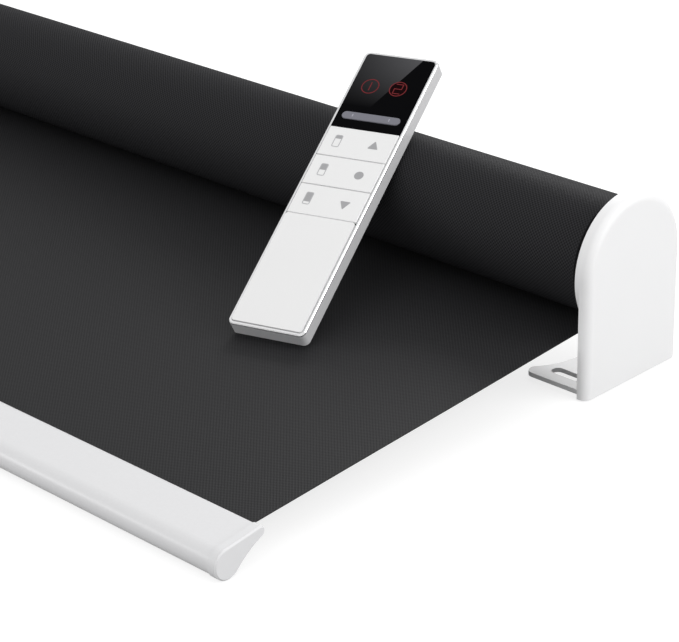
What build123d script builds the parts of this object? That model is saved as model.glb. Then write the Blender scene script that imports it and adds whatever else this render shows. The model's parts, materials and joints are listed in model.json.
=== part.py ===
from build123d import *
import math
import os

# Motorized roller blind, lying on its wall side. X runs along the roller, the fabric hangs towards
# -Y in use, and +Z points out of the wall. The origin is the centre of the four wall slots, on the
# wall face. All lengths are in millimetres. A depth is measured inwards from an end cover's face.

# Whole blind
blind_width = 600.0
axis_height = 51.3
running_fit = 0.05
push_fit = 0.1
seat_gap = 0.3

# End covers
cover_radius = 30.0
cover_depth = 4.7
cover_wall = 1.4
cover_edge_radius = 3.5
cover_floor_gap = 0.4
post_radius = 2.5
post_pin_radius = 1.4
low_post_y = 21.0
low_post_height = 9.0
high_post_y = 14.0
high_post_rise = 19.0

# Wall brackets
plate_thickness = 2.0
bracket_half_width = 25.8
foot_reach = 36.6
foot_waist = 13.6
foot_corner_radius = 3.7
bend_radius = 3.0
slot_length = 16.0
slot_width = 5.5
slot_spacing = 34.0
slot_offset = 15.1
gusset_size = 9.0
gusset_width = 3.0

# Guard discs beside the roll
guard_thickness = 2.6
guard_edge = 0.4
guard_pin_y = 22.5
roll_side_gap = 4.6

# Roller tube, wound fabric and free sheet
tube_radius = 19.0
tube_wall = 1.2
rib_width = 2.2
rib_height = 1.6
keyway_mouth = 3.0
keyway_width = 4.6
keyway_depth = 1.6
keyway_lip = 0.6
keyway_wall = 1.2
roll_radius = 25.2
fabric_thickness = 0.45
sheet_entry = 3.0

# Bottom bar
bar_distance = 204.0
bar_depth = 24.0
nose_radius = 1.9
nose_height = 12.6
bulb_radius = 6.0
bulb_bore_radius = 3.9
hollow_radius = 40.0
bar_slot_height = 1.2
bar_overhang = 2.3
cap_thickness = 4.2
cap_proud = 0.4
cap_edge = 0.6
cap_plug_length = 10.0

# Motor
sleeve_radius = 12.5
sleeve_wall = 0.8
head_side_gap = 0.4
head_end_gap = 1.0
head_flange_thickness = 5.6
head_flat = 15.4
head_wall = 1.4
head_floor = 0.9
head_neck_length = 13.1
spigot_width = 12.0
spigot_length = 5.6
spigot_corner = 1.5
spigot_opening = 8.4
adaptor_width = 40.0
adaptor_height = 22.0
adaptor_corner = 5.0
adaptor_screw_y = 15.0
screw_radius = 1.5
screw_head_radius = 2.8
screw_head_height = 1.0
screw_socket_depth = 0.5
clip_thickness = 0.6
clip_bite = 0.8
clip_border = 4.0
clip_corner = 3.0
cell_radius = 9.2
cell_length = 65.0
cell_count = 3
cell_pitch_gap = 1.0
cradle_margin = 3.0
board_thickness = 1.2
control_board_length = 64.0
lead_room = 11.4
part_count = 4
part_length = 10.0
part_width = 8.0
part_height = 4.0
part_gap = 5.0
part_shift = 3.0
motor_can_length = 42.0
motor_can_height = 20.0
brake_length = 13.0
gearbox_length = 60.0
gearbox_groove = 0.8
stage_gap = 0.8
bearing_flange = 2.0
shaft_radius = 5.0
shaft_flat = 3.8
shaft_bearing_length = 8.0
wheel_length = 14.0
wheel_gap = 2.0
wheel_hole_radius = 3.0
wheel_hole_centre = 11.0
shaft_end = 2.0
shaft_clip_radius = 7.0
crown_length = 10.0
insert_flange_thickness = 1.5
insert_flange_radius = 18.9

# Idle end
plug_length = 30.0
pin_tip_radius = 4.0
pin_radius = 5.0
pin_flange_radius = 6.7
pin_flange_thickness = 2.0
pin_guide_length = 10.4
socket_bush_radius = 8.0
socket_flange_radius = 11.0
socket_flange_thickness = 1.0
socket_floor = 0.8
plug_cap_thickness = 1.5
plug_cap_radius = 9.0
plug_spigot_length = 3.0
spring_wire_radius = 0.5
spring_turns = 5

# Charging board in the motor head's flange, heights from the roller axis
charge_board_half = 12.6
charge_board_depth = 4.6
charge_board_thickness = 0.8
port_width = 9.0
port_thickness = 3.0
port_length = 7.4
port_wall = 0.35
port_back = 1.0
port_tongue_length = 5.0
port_window_margin = 0.2
button_rise = -8.2
button_radius = 1.4
button_flange_radius = 1.9
button_flange_thickness = 1.0
button_tail = 2.5
button_proud = 0.3
button_travel = 0.5
switch_size = 4.4
switch_thickness = 2.4
light_rise = 8.2
light_radius = 1.0
light_block = 2.0

# Remote
remote_width = 36.0
remote_length = 150.0
remote_thickness = 8.0
remote_corner_radius = 2.6
remote_inset = 107.4
remote_yaw = 16.0
remote_lean = 27.6
shell_wall = 1.3
shell_floor = 1.2
shell_height = 6.6
shell_inner_corner = 1.5
shell_chamfer = 0.6
front_frame_drop = 0.5
front_frame_width = 1.15
front_frame_edge = 0.35
face_groove = 0.35
row_gap = 0.35
front_plate_end = 58.8
row_height = 16.0
lens_thickness = 1.3
lens_corner_radius = 1.8
key_thickness = 1.4
key_edge = 0.2
key_pivot_radius = 0.4
plate_rib = 1.0
rocker_length = 28.0
rocker_width = 4.0
rocker_rise = 6.6
rocker_proud = 0.2
rocker_thickness = 1.2
rocker_pivot_radius = 0.5
board_top = 5.5
remote_board_thickness = 0.8
pad_thickness = 0.6
dome_radius = 3.0
dome_x = 9.9
dome_height = 0.15
pad_margin = 1.0
display_thickness = 0.9
display_margin = 1.5
coin_radius = 10.0
coin_thickness = 3.2
coin_height = 40.0
coin_clip_thickness = 0.5
coin_clip_open = 7.0
door_radius = 12.0
door_lug_reach = 1.0
door_lug_thickness = 0.6
door_lug_angle = 24.0
door_notch_angle = 28.0
door_chamfer = 0.3
door_turn = 40.0
coin_slot_length = 14.0
coin_slot_width = 1.8
coin_slot_depth = 0.7
shell_post_radius = 2.0
shell_post_x = 13.7
shell_post_inset = 8.0

# Places that follow from the sizes
half_width = blind_width / 2
plate_inner = cover_depth
plate_outer = plate_inner - plate_thickness
guard_inner = plate_inner + guard_thickness
fabric_end = guard_inner + roll_side_gap
tube_inner_radius = tube_radius - tube_wall
head_flange_radius = tube_radius - head_side_gap
flange_end = guard_inner + head_flange_thickness
tube_end = flange_end + head_end_gap + insert_flange_thickness
sleeve_start = flange_end + head_neck_length
sleeve_bore = sleeve_radius - sleeve_wall
stage_radius = sleeve_bore - seat_gap
pin_hole_radius = post_pin_radius + push_fit
remote_foot_x = half_width - remote_inset


def yz_plane(x, height=0.0):
    """Plane across the roller at x, with its own x along Y and its own y along Z."""
    return Plane((x, 0, height), x_dir=(0, 1, 0), z_dir=(1, 0, 0))


def slab(sketch, depth_from, depth_to):
    """Extrude a sketch drawn about the roller axis between two depths from the right end."""
    plane = yz_plane(half_width - depth_to, axis_height)
    return extrude(plane * sketch, amount=depth_to - depth_from)


def rod(radius, depth_from, depth_to):
    return slab(Circle(radius), depth_from, depth_to)


def ring(outer, inner, depth_from, depth_to):
    return slab(Circle(outer) - Circle(inner), depth_from, depth_to)


def left_hand(shape):
    """The same piece at the blind's left end."""
    return mirror(shape, about=Plane.YZ)


def box_between(x_from, x_to, y_from, y_to, z_from, z_to):
    centre = ((x_from + x_to) / 2, (y_from + y_to) / 2, (z_from + z_to) / 2)
    return Pos(*centre) * Box(x_to - x_from, y_to - y_from, z_to - z_from)


def at_pair(y, rise, sketch):
    """A sketch repeated on both sides of the roller axis."""
    return Pos(y, rise) * sketch + Pos(-y, rise) * sketch


def save(shape, node):
    export_step(shape, f"parts/{node}.step")


# Free fabric: a straight sheet tangent to the roll's underside, entering the bottom bar's nose
tangent_radius = roll_radius - fabric_thickness / 2 + seat_gap
axis_to_nose = math.hypot(bar_distance, axis_height - nose_height)
fabric_slope = math.atan2(axis_height - nose_height, bar_distance) - math.asin(tangent_radius / axis_to_nose)
free_length = math.sqrt(axis_to_nose**2 - tangent_radius**2)
fabric_y = math.cos(fabric_slope)
fabric_z = math.sin(fabric_slope)
tangent_y = tangent_radius * fabric_z
tangent_z = axis_height - tangent_radius * fabric_y


def fabric_point(distance, lift):
    """Y and Z of a point that far from the roll along the sheet, and that far above its middle."""
    y = tangent_y - distance * fabric_y - lift * fabric_z
    z = tangent_z - distance * fabric_z + lift * fabric_y
    return y, z


# End covers, brackets and guard discs, drawn at the right end
def d_outline(radius, floor_height):
    """Round top about the roller axis with straight sides down to the floor height."""
    drop = axis_height - floor_height
    return Circle(radius) + Pos(0, -drop / 2) * Rectangle(2 * radius, drop)


def post_sketch(radius):
    low_rise = low_post_height - axis_height
    low = at_pair(low_post_y, low_rise, Circle(radius))
    high = at_pair(high_post_y, high_post_rise, Circle(radius))
    return low + high


def face_edges(solid, depth, floor_height):
    """Edges of the flat face at one depth, without the one along the floor."""
    x = half_width - depth
    edges = solid.edges().filter_by_position(Axis.X, x - 0.01, x + 0.01)
    return [edge for edge in edges if edge.center().Z > floor_height + 0.01]


def end_cover():
    shell = slab(d_outline(cover_radius, cover_floor_gap), 0, cover_depth)
    shell = fillet(face_edges(shell, 0, cover_floor_gap), cover_edge_radius)
    hollow_floor = cover_floor_gap - cover_wall
    hollow = slab(d_outline(cover_radius - cover_wall, hollow_floor), cover_wall, cover_depth + cover_wall)
    hollow = chamfer(face_edges(hollow, cover_wall, hollow_floor), cover_edge_radius - cover_wall)
    posts = slab(post_sketch(post_radius), cover_wall / 2, plate_outer)
    pins = slab(post_sketch(post_pin_radius), plate_outer, plate_inner - push_fit)
    return shell - hollow + posts + pins


def foot_outline():
    near = half_width - plate_inner - seat_gap
    far = half_width - plate_inner - foot_reach
    side = bracket_half_width
    edges = [
        Line((near, -side), (far, -side)),
        ThreePointArc((far, -side), (far + foot_waist, 0), (far, side)),
        Line((far, side), (near, side)),
        Line((near, side), (near, -side)),
    ]
    outline = make_face(edges)
    return fillet(outline.vertices().sort_by(Axis.X)[:2], foot_corner_radius)


def wall_bracket(opening_radius, screw_holes):
    plate = slab(d_outline(bracket_half_width, 0), plate_outer, plate_inner)
    heel = box_between(
        half_width - plate_inner - 2 * bend_radius, half_width - plate_outer,
        -bracket_half_width, bracket_half_width, 0, plate_thickness,
    )
    bracket = plate + heel
    outer_bend = bracket.edges().filter_by(Axis.Y).filter_by_position(Axis.Z, -0.01, 0.01)
    bracket = fillet(outer_bend.sort_by(Axis.X)[-1], bend_radius)
    inner_x = half_width - plate_inner
    inner_bend = bracket.edges().filter_by(Axis.Y).filter_by_position(Axis.X, inner_x - 0.01, inner_x + 0.01)
    bracket = fillet(inner_bend.sort_by(Axis.Z)[0], bend_radius - plate_thickness)
    bracket += extrude(foot_outline(), amount=plate_thickness)
    slot_x = half_width - plate_inner - slot_offset
    for side in (-1, 1):
        slot = Pos(slot_x, side * slot_spacing / 2) * SlotOverall(slot_length, slot_width)
        bracket -= extrude(slot, amount=2 * plate_thickness, both=True)
    corner = (inner_x, plate_thickness)
    foot_end = (inner_x - gusset_size, plate_thickness)
    plate_end = (inner_x, plate_thickness + gusset_size)
    gusset = make_face(Polyline(corner, foot_end, plate_end, close=True))
    bracket += extrude(Plane.XZ * gusset, amount=gusset_width / 2, both=True)
    holes = Circle(opening_radius) + post_sketch(pin_hole_radius)
    holes += at_pair(guard_pin_y, 0, Circle(pin_hole_radius))
    if screw_holes:
        holes += at_pair(adaptor_screw_y, 0, Circle(screw_radius + push_fit))
    return bracket - slab(holes, plate_outer - 1, plate_inner + 1)


def guard_disc(opening):
    disc = slab(Circle(cover_radius), plate_inner, guard_inner)
    disc = chamfer(disc.edges().sort_by(Axis.X)[0], guard_edge)
    disc -= slab(opening, plate_inner - 1, guard_inner + 1)
    return disc + slab(at_pair(guard_pin_y, 0, Circle(post_pin_radius)), plate_outer + push_fit, plate_inner)


# Roller tube, what slides into it and the wound fabric
def tube_insert(clearance):
    """Outline that slides into the tube past its ribs and its keyway."""
    outline = Circle(tube_inner_radius - clearance)
    rib_bottom = tube_inner_radius - rib_height - clearance
    for turn in (90, 270):
        slot_length_in = tube_radius - rib_bottom
        slot = Pos(rib_bottom + slot_length_in / 2, 0) * Rectangle(slot_length_in, rib_width + 2 * clearance)
        outline -= Rot(0, 0, turn) * slot
    keyway_bottom = tube_radius - keyway_lip - keyway_depth - keyway_wall - clearance
    notch_length = tube_radius - keyway_bottom
    notch_width = keyway_width + 2 * keyway_wall + 2 * clearance
    return outline - Pos(keyway_bottom + notch_length / 2, 0) * Rectangle(notch_length, notch_width)


def roller_tube():
    section = Circle(tube_radius) - Circle(tube_inner_radius)
    rib = Rectangle(rib_height + tube_wall, rib_width)
    rib_middle = tube_inner_radius - rib_height + (rib_height + tube_wall) / 2
    for turn in (90, 270):
        section += Rot(0, 0, turn) * (Pos(rib_middle, 0) * rib) & Circle(tube_radius)
    keyway_bottom = tube_radius - keyway_lip - keyway_depth - keyway_wall
    block_length = tube_radius - keyway_bottom
    block = Rectangle(block_length, keyway_width + 2 * keyway_wall)
    section += (Pos(keyway_bottom + block_length / 2, 0) * block) & Circle(tube_radius)
    pocket_middle = tube_radius - keyway_lip - keyway_depth / 2
    section -= Pos(pocket_middle, 0) * Rectangle(keyway_depth, keyway_width)
    section -= Pos(tube_radius, 0) * Rectangle(2 * (keyway_lip + push_fit), keyway_mouth)
    return slab(section, tube_end, blind_width - tube_end)


def keeper_strip():
    pocket_middle = tube_radius - keyway_lip - keyway_depth / 2
    strip = Rectangle(keyway_depth - 2 * push_fit, keyway_width - 2 * push_fit)
    return slab(Pos(pocket_middle, 0) * strip, tube_end, blind_width - tube_end)


def wound_fabric():
    """Outer turn of the roll: it loses one fabric thickness per turn from where the sheet leaves."""
    start = -math.pi / 2 + fabric_slope
    quarters = 4

    def spiral_point(turns):
        radius = roll_radius - fabric_thickness * turns
        angle = start + 2 * math.pi * turns
        return radius * math.cos(angle), radius * math.sin(angle)

    edges = []
    for index in range(quarters):
        ends = (index / quarters, (index + 0.5) / quarters, (index + 1) / quarters)
        edges.append(ThreePointArc(*[spiral_point(turns) for turns in ends]))
    edges.append(Line(spiral_point(1), spiral_point(0)))
    outline = make_face(edges) - Circle(tube_radius + push_fit)
    return slab(outline, fabric_end, blind_width - fabric_end)


def fabric_sheet():
    upper = fabric_thickness / 2
    corners = [
        fabric_point(seat_gap, -upper), fabric_point(seat_gap, upper),
        fabric_point(free_length + sheet_entry, upper), fabric_point(free_length + sheet_entry, -upper),
    ]
    profile = make_face(Polyline(*corners, close=True))
    width = blind_width - 2 * fabric_end
    return extrude(yz_plane(-width / 2) * profile, amount=width)


# Bottom bar
def bar_outline(grow=0.0):
    """Teardrop section: flat top, round bulb at the outer edge and a hollow underside."""
    nose = Vector(-bar_distance - nose_radius, nose_height)
    bulb = bulb_centre()
    span = (bulb - nose).length
    along = (bulb - nose).normalized()
    down = Vector(-along.Y, along.X)
    top_share = (nose_radius - bulb_radius) / span
    up = along * top_share - down * math.sqrt(1 - top_share**2)
    nose_reach = hollow_radius + nose_radius
    bulb_reach = hollow_radius + bulb_radius
    step = (nose_reach**2 - bulb_reach**2 + span**2) / (2 * span)
    hollow = nose + along * step + down * math.sqrt(nose_reach**2 - step**2)
    from_nose = (nose - hollow).normalized()
    from_bulb = (bulb - hollow).normalized()
    middle = (from_nose + from_bulb).normalized()
    arc_radius = hollow_radius - grow
    nose_top = nose + up * (nose_radius + grow)
    bulb_top = bulb + up * (bulb_radius + grow)
    nose_under = hollow + from_nose * arc_radius
    bulb_under = hollow + from_bulb * arc_radius
    edges = [
        Line(nose_top, bulb_top),
        ThreePointArc(bulb_top, bulb - Vector(bulb_radius + grow, 0), bulb_under),
        ThreePointArc(bulb_under, hollow + middle * arc_radius, nose_under),
        ThreePointArc(nose_under, nose + Vector(nose_radius + grow, 0), nose_top),
    ]
    return make_face(edges)


def bulb_centre():
    return Vector(-bar_distance - bar_depth + bulb_radius, cap_proud + bulb_radius)


def bar_profile():
    bulb = bulb_centre()
    bore = Pos(bulb.X, bulb.Y) * Circle(bulb_bore_radius)
    slot_length_in = bar_depth - 2 * bulb_radius
    slot = Rectangle(2 * slot_length_in, bar_slot_height)
    slot = Pos(-bar_distance, nose_height) * (Rot(0, 0, math.degrees(fabric_slope)) * slot)
    half_length = half_width - fabric_end + bar_overhang
    section = bar_outline() - bore - slot
    return extrude(yz_plane(-half_length) * section, amount=2 * half_length)


def bar_rod():
    bulb = bulb_centre()
    half_length = half_width - fabric_end + bar_overhang - cap_plug_length - seat_gap
    section = Pos(bulb.X, bulb.Y) * Circle(bulb_bore_radius - seat_gap)
    return extrude(yz_plane(-half_length) * section, amount=2 * half_length)


def bar_cap():
    bulb = bulb_centre()
    start = half_width - fabric_end + bar_overhang
    cap = extrude(yz_plane(start) * bar_outline(cap_proud), amount=cap_thickness)
    face_x = start + cap_thickness
    rim = cap.edges().filter_by_position(Axis.X, face_x - 0.01, face_x + 0.01)
    cap = chamfer(rim, cap_edge)
    plug = Pos(bulb.X, bulb.Y) * Circle(bulb_bore_radius - 2 * push_fit)
    return cap + extrude(yz_plane(start - cap_plug_length) * plug, amount=cap_plug_length)


# Motor, from its head at the right bracket to the wheel that drives the tube
def motor_head():
    flat = Pos(head_flat - head_flange_radius, 0) * Rectangle(2 * head_flange_radius, 2 * head_flange_radius)
    head = slab(Circle(head_flange_radius) & flat, guard_inner, flange_end)
    head += rod(sleeve_radius, flange_end, sleeve_start)
    spigot = RectangleRounded(spigot_width, spigot_width, spigot_corner)
    head += slab(spigot, guard_inner - spigot_length, guard_inner)
    groove = Rectangle(spigot_width, spigot_width) - Rectangle(spigot_width - 2 * clip_bite, spigot_width)
    head -= slab(groove, plate_outer - clip_thickness - push_fit, plate_outer)
    return head - charge_pocket()


def motor_adaptor():
    outline = RectangleRounded(adaptor_width, adaptor_height, adaptor_corner)
    outline -= Rectangle(spigot_width + 2 * push_fit, spigot_width + 2 * push_fit)
    outline -= at_pair(adaptor_screw_y, 0, Circle(screw_radius + push_fit))
    return slab(outline, plate_inner, guard_inner)


def adaptor_opening():
    """Opening in the guard disc that the motor's adaptor sits in."""
    width = adaptor_width + 2 * seat_gap
    height = adaptor_height + 2 * seat_gap
    return RectangleRounded(width, height, adaptor_corner + seat_gap)


def adaptor_screws():
    top = plate_outer - screw_head_height
    heads = slab(at_pair(adaptor_screw_y, 0, Circle(screw_head_radius)), top, plate_outer)
    socket = RegularPolygon(screw_radius, 6)
    heads -= slab(at_pair(adaptor_screw_y, 0, socket), top - 1, top + screw_socket_depth)
    shanks = at_pair(adaptor_screw_y, 0, Circle(screw_radius))
    return heads + slab(shanks, plate_outer, guard_inner - seat_gap)


def retaining_clip():
    size = spigot_width + 2 * clip_border
    bite = spigot_width - 2 * clip_bite + 2 * push_fit
    outline = RectangleRounded(size, size, clip_corner)
    outline -= Pos(0, -size / 4) * Rectangle(bite, size / 2 + spigot_width + 2 * push_fit)
    return slab(outline, plate_outer - clip_thickness, plate_outer)


# What is in the motor sleeve, one behind the other from the head
cells_start = sleeve_start + cradle_margin
cells_end = cells_start + cell_count * (cell_length + cell_pitch_gap)
control_board_start = cells_end + cradle_margin
can_start = control_board_start + control_board_length + lead_room
brake_start = can_start + motor_can_length + stage_gap
gearbox_start = brake_start + brake_length + stage_gap
gearbox_end = gearbox_start + gearbox_length
sleeve_end = gearbox_end + shaft_bearing_length / 2
wheel_start = sleeve_end + bearing_flange + wheel_gap
wheel_end = wheel_start + wheel_length


def motor_sleeve():
    return ring(sleeve_radius, sleeve_bore, sleeve_start, sleeve_end)


def battery_cells():
    cells = []
    for index in range(cell_count):
        start = cells_start + index * (cell_length + cell_pitch_gap)
        nub = rod(cell_radius / 3, start, start + cell_pitch_gap)
        cells.append(nub + rod(cell_radius, start + cell_pitch_gap, start + cell_length))
    return Compound(children=cells)


def battery_cradle():
    section = Circle(stage_radius) - Circle(cell_radius + push_fit)
    section &= Pos(0, -stage_radius) * Rectangle(2 * stage_radius, 2 * stage_radius)
    return slab(section, cells_start, cells_end)


def control_board():
    start = control_board_start
    half_height = board_thickness / 2
    width = 2 * math.sqrt(stage_radius**2 - half_height**2)
    board = slab(Rectangle(width, board_thickness), start, start + control_board_length)
    for index in range(part_count):
        part_start = start + part_gap + index * (part_length + part_gap)
        across = part_shift if index % 2 == 0 else -part_shift
        block = Pos(across, half_height + part_height / 2) * Rectangle(part_width, part_height)
        board += slab(block, part_start, part_start + part_length)
    return board


def drive_motor():
    section = Circle(stage_radius) & Rectangle(2 * stage_radius, motor_can_height)
    can = slab(section, can_start, can_start + motor_can_length)
    return can + rod(shaft_radius / 2, can_start - stage_gap, can_start)


def motor_brake():
    return rod(stage_radius, brake_start, brake_start + brake_length)


def gearbox():
    body = rod(stage_radius, gearbox_start, gearbox_end)
    for share in (0.3, 0.6, 0.85):
        groove = gearbox_start + share * gearbox_length
        body -= ring(2 * stage_radius, stage_radius - gearbox_groove, groove, groove + gearbox_groove)
    return body - rod(shaft_radius + seat_gap, gearbox_end - shaft_bearing_length, gearbox_end + 1)


def output_bearing():
    bore = shaft_radius + running_fit
    bearing = ring(sleeve_bore - running_fit, bore, gearbox_end, sleeve_end)
    return bearing + ring(sleeve_radius, bore, sleeve_end, sleeve_end + bearing_flange)


def flat_circle(radius, flat):
    """Round bar section with one flat on its upper side."""
    return Circle(radius) & Pos(0, flat - radius) * Rectangle(2 * radius, 2 * radius)


def output_shaft():
    inner_end = gearbox_end - shaft_bearing_length + seat_gap
    shaft = rod(shaft_radius, inner_end, wheel_start - seat_gap)
    shaft += slab(flat_circle(shaft_radius, shaft_flat), wheel_start - seat_gap, wheel_end + shaft_end)
    return shaft - ring(2 * shaft_radius, shaft_flat, wheel_end, wheel_end + clip_thickness + push_fit)


def drive_wheel():
    bore = flat_circle(shaft_radius + push_fit, shaft_flat + push_fit)
    outline = tube_insert(seat_gap) - bore
    for turn in (45, 135, 225, 315):
        outline -= Rot(0, 0, turn) * (Pos(wheel_hole_centre, 0) * Circle(wheel_hole_radius))
    return slab(outline, wheel_start, wheel_end)


def shaft_clip():
    outline = Circle(shaft_clip_radius) - Circle(shaft_flat + push_fit)
    outline -= Pos(0, -shaft_clip_radius / 2) * Rectangle(shaft_radius, shaft_clip_radius)
    return slab(outline, wheel_end + push_fit / 2, wheel_end + push_fit / 2 + clip_thickness)


def crown_ring():
    bore = sleeve_radius + running_fit
    flange = ring(insert_flange_radius, bore, tube_end - insert_flange_thickness, tube_end)
    return flange + slab(tube_insert(seat_gap) - Circle(bore), tube_end, tube_end + crown_length)


# Idle end, drawn at the right end and mirrored to the left
def guide_end():
    return tube_end - insert_flange_thickness + pin_guide_length


def chamber_end():
    return tube_end + plug_length - plug_spigot_length


def idle_plug():
    start = tube_end - insert_flange_thickness
    end = tube_end + plug_length
    plug = rod(insert_flange_radius, start, tube_end) + slab(tube_insert(seat_gap), tube_end, end)
    plug -= rod(pin_radius + running_fit, start - 1, guide_end() + 1)
    plug -= rod(pin_flange_radius + seat_gap, guide_end(), end + 1)
    return plug


def plug_cap():
    end = tube_end + plug_length
    return rod(pin_flange_radius, chamber_end(), end) + rod(plug_cap_radius, end, end + plug_cap_thickness)


def idle_pin():
    shoulder = guard_inner - seat_gap
    flange_start = guide_end() + seat_gap
    tip = plate_outer - socket_flange_thickness + socket_floor + seat_gap
    pin = rod(pin_tip_radius, tip, shoulder) + rod(pin_radius, shoulder, flange_start)
    pin += rod(pin_flange_radius, flange_start, flange_start + pin_flange_thickness)
    return chamfer(pin.edges().sort_by(Axis.X)[-1:], seat_gap)


def idle_socket():
    face = plate_outer - socket_flange_thickness
    socket = rod(socket_flange_radius, face, plate_outer)
    socket += rod(socket_bush_radius, plate_outer, guard_inner - 2 * seat_gap)
    return socket - rod(pin_tip_radius + running_fit, face + socket_floor, guard_inner)


def idle_spring():
    start = guide_end() + seat_gap + pin_flange_thickness + seat_gap + spring_wire_radius
    end = chamber_end() - seat_gap - spring_wire_radius
    coil_radius = pin_flange_radius - 2 * spring_wire_radius - seat_gap
    height = end - start
    path = Helix(pitch=height / spring_turns, height=height, radius=coil_radius)
    section = Plane(path @ 0, z_dir=path % 0) * RegularPolygon(spring_wire_radius, 4)
    coil = sweep(section, path=path)
    return Pos(half_width - end, 0, axis_height) * (Rot(0, 90, 0) * coil)


# Charging inlet, program button and status light behind the flat of the motor head's flange
pocket_floor = flange_end - head_floor
board_face = half_width - pocket_floor + charge_board_thickness
wall_inside = head_flat - head_wall
switch_front = wall_inside - button_tail - button_travel - push_fit
button_axis_x = board_face + switch_thickness / 2
button_height = axis_height + button_rise
light_height = axis_height + light_rise


def charge_pocket():
    """What is cut from the motor head for the charging board and the pieces on it."""
    half = charge_board_half + seat_gap
    near = switch_front - charge_board_depth - seat_gap
    pocket = box_between(
        half_width - pocket_floor, half_width, near, wall_inside, axis_height - half, axis_height + half,
    )
    pocket = pocket & rod(head_flange_radius - head_floor, guard_inner, flange_end)
    middle = board_face + port_thickness / 2
    plane = Plane((middle, wall_inside - 1, axis_height), x_dir=(0, 0, 1), z_dir=(0, 1, 0))
    window = SlotOverall(port_width + 2 * port_window_margin, port_thickness + 2 * port_window_margin)
    pocket += extrude(plane * window, amount=head_wall + 2)
    pocket += side_rod(button_radius + seat_gap, button_height, wall_inside - 1, head_flat + 1)
    return pocket + side_rod(light_radius + push_fit, light_height, wall_inside - 1, head_flat + 1)


def charge_board():
    return box_between(
        board_face - charge_board_thickness, board_face, switch_front - charge_board_depth, switch_front,
        axis_height - charge_board_half, axis_height + charge_board_half,
    )


def charge_port():
    y_end = wall_inside - push_fit
    low = axis_height - port_width / 2
    outer = box_between(
        board_face, board_face + port_thickness, y_end - port_length, y_end, low, low + port_width,
    )
    outer = fillet(outer.edges().filter_by(Axis.Y), port_thickness / 3)
    back = y_end - port_length + port_back
    hollow = box_between(
        board_face + port_wall, board_face + port_thickness - port_wall, back, y_end + 1,
        low + port_wall, low + port_width - port_wall,
    )
    middle = board_face + port_thickness / 2
    tongue = box_between(
        middle - port_wall, middle + port_wall, back - port_wall, back + port_tongue_length,
        low + port_width / 6, low + port_width * 5 / 6,
    )
    return outer - hollow + tongue


def side_rod(radius, height, y_from, y_to):
    """Round bar along Y through the wall of the motor head's flat."""
    plane = Plane((button_axis_x, y_from, height), x_dir=(1, 0, 0), z_dir=(0, 1, 0))
    return extrude(plane * Circle(radius), amount=y_to - y_from)


def program_button():
    cap = side_rod(button_radius, button_height, wall_inside - button_tail, head_flat + button_proud)
    end = wall_inside - 2 * seat_gap
    return cap + side_rod(button_flange_radius, button_height, end - button_flange_thickness, end)


def program_switch():
    half = switch_size / 2
    return box_between(
        board_face, board_face + switch_thickness, switch_front - switch_size, switch_front,
        button_height - half, button_height + half,
    )


def status_light():
    lamp = box_between(
        board_face, button_axis_x + light_radius, switch_front - light_block, switch_front,
        light_height - light_radius, light_height + light_radius,
    )
    return lamp + side_rod(light_radius, light_height, switch_front, head_flat)


# Remote, drawn flat: x across, y from foot to top, z out of its face
def turned(along, across, angle):
    return along * math.cos(angle) + across * math.sin(angle)


fabric_up = Vector(0, fabric_y, fabric_z)
fabric_normal = Vector(0, -fabric_z, fabric_y)
yaw = math.radians(remote_yaw)
lean = math.radians(remote_lean)
remote_across = turned(Vector(1, 0, 0), fabric_up, yaw)
remote_level = turned(fabric_up, Vector(-1, 0, 0), yaw)
remote_along = turned(remote_level, fabric_normal, lean)
remote_normal = turned(fabric_normal, remote_level * -1, lean)


def remote_foot():
    """Middle of the back's foot edge: the foot is on the fabric and the right side leans on the roll."""
    top_y, top_z = fabric_point(0, fabric_thickness / 2 + seat_gap)
    start = Vector(0, top_y, top_z - axis_height) + remote_across * (remote_width / 2)
    reach = math.hypot(remote_along.Y, remote_along.Z)
    cross = start.Y * remote_along.Z - start.Z * remote_along.Y
    per_step = fabric_y * remote_along.Z - fabric_z * remote_along.Y
    distance = (cross + (roll_radius + seat_gap) * reach) / per_step
    y, z = fabric_point(distance, fabric_thickness / 2 + seat_gap)
    return Vector(remote_foot_x, y, z)


remote_plane = Plane(remote_foot(), x_dir=remote_across, z_dir=remote_normal)


def in_hand(shape):
    """Move a piece of the flat remote to where the remote leans."""
    return remote_plane.location * shape


def plate_between(half, y_from, y_to, z_from, z_to, radius=0.0):
    outline = Rectangle(2 * half, y_to - y_from)
    if radius:
        outline = RectangleRounded(2 * half, y_to - y_from, radius)
    return extrude(Pos(0, (y_from + y_to) / 2, z_from) * outline, amount=z_to - z_from)


shell_half = remote_width / 2
face_half = shell_half - front_frame_width - face_groove
face_top = remote_thickness
face_foot = front_frame_width + face_groove
lens_start = front_plate_end + 3 * row_height + row_gap / 2
rocker_height = lens_start + rocker_rise
face_end = remote_length - face_foot
board_bottom = board_top - remote_board_thickness
key_bottom = face_top - key_thickness
pad_top = board_top + pad_thickness


def remote_back():
    shell = plate_between(shell_half, 0, remote_length, 0, shell_height, remote_corner_radius)
    shell = chamfer(shell.faces().sort_by(Axis.Z)[0].edges(), shell_chamfer)
    inner = shell_half - shell_wall
    hollow_end = remote_length - shell_wall
    shell -= plate_between(inner, shell_wall, hollow_end, shell_floor, shell_height + 1, shell_inner_corner)
    for x in (-shell_post_x, shell_post_x):
        for y in (shell_post_inset, remote_length / 2, remote_length - shell_post_inset):
            post = extrude(Pos(x, y, shell_floor) * Circle(shell_post_radius), amount=board_bottom - shell_floor)
            shell += post
    hole = Circle(door_radius + seat_gap)
    for side in (0, 180):
        notch = lug_sketch(door_notch_angle, seat_gap)
        hole += Rot(0, 0, side - door_turn) * notch
    return shell - extrude(Pos(0, coin_height, -1) * hole, amount=shell_floor + 2)


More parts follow.
